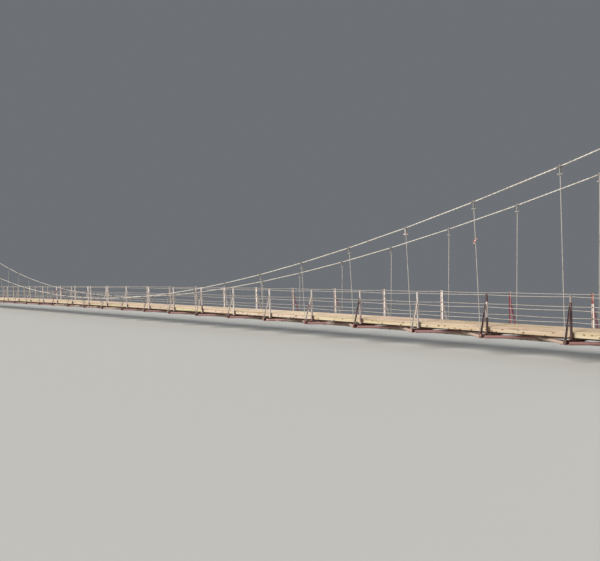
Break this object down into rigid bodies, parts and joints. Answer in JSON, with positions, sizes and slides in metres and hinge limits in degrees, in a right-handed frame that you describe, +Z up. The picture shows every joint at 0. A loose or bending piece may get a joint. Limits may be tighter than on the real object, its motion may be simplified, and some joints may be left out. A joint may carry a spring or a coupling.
{
  "type": "scale model 1:2 of a suspension footbridge",
  "caption": "Suspension footbridge with a plank deck on steel crossbeams, hung by thin rods from main cables between portal towers, with wire railings; 1:2 scale model.",
  "frame": {"origin": "on the ground below mid-span, at the middle of the bounding box's base", "axes": "+X along the bridge towards its right end (the near end in the picture), +Y across it towards the back, +Z up"},
  "size_m": [38.8, 1.7752, 2.8404],
  "materials": {
    "concrete": "weathered cast concrete, board-marked, with stains",
    "tower_paint": "faded red paint on steel with rust at the edges",
    "saddle_iron": "dark cast iron, rusty in the hollows",
    "galvanized_cable": "dull pale galvanised wire rope with grey-brown grime",
    "pipe_paint": "faded pinkish red paint, worn to pale primer and rust between the beams",
    "railing_paint": "old pale paint over red primer, chalky, with rust patches",
    "beam_paint": "faded dark red paint with rust",
    "pine": "sawn pine planks, pale yellow, with knots and brown edges"
  },
  "bodies": {
    "root": {"back_main_cable": "galvanized_cable", "back_railing": "railing_paint", "crossbeam_01": "beam_paint", "crossbeam_02": "beam_paint", "crossbeam_03": "beam_paint", "crossbeam_04": "beam_paint", "crossbeam_05": "beam_paint", "crossbeam_06": "beam_paint", "crossbeam_07": "beam_paint", "crossbeam_08": "beam_paint", "crossbeam_09": "beam_paint", "crossbeam_10": "beam_paint", "crossbeam_11": "beam_paint", "crossbeam_12": "beam_paint", "crossbeam_13": "beam_paint", "crossbeam_14": "beam_paint", "crossbeam_15": "beam_paint", "crossbeam_16": "beam_paint", "crossbeam_17": "beam_paint", "crossbeam_18": "beam_paint", "crossbeam_19": "beam_paint", "crossbeam_20": "beam_paint", "crossbeam_21": "beam_paint", "crossbeam_22": "beam_paint", "crossbeam_23": "beam_paint", "crossbeam_24": "beam_paint", "deck_section_1": "pine", "deck_section_2": "pine", "deck_section_3": "pine", "deck_section_4": "pine", "deck_section_5": "pine", "front_main_cable": "galvanized_cable", "front_railing": "railing_paint", "left_abutment": "concrete", "left_back_anchor_block": "concrete", "left_back_saddle": "saddle_iron", "left_back_tower_leg": "tower_paint", "left_front_anchor_block": "concrete", "left_front_saddle": "saddle_iron", "left_front_tower_leg": "tower_paint", "left_tower_bracing": "tower_paint", "right_abutment": "concrete", "right_back_anchor_block": "concrete", "right_back_saddle": "saddle_iron", "right_back_tower_leg": "tower_paint", "right_front_anchor_block": "concrete", "right_front_saddle": "saddle_iron", "right_front_tower_leg": "tower_paint", "right_tower_bracing": "tower_paint", "wind_bracing_1": "pipe_paint", "wind_bracing_2": "pipe_paint", "wind_bracing_3": "pipe_paint", "wind_bracing_4": "pipe_paint", "wind_bracing_5": "pipe_paint"}
  },
  "joints": []
}
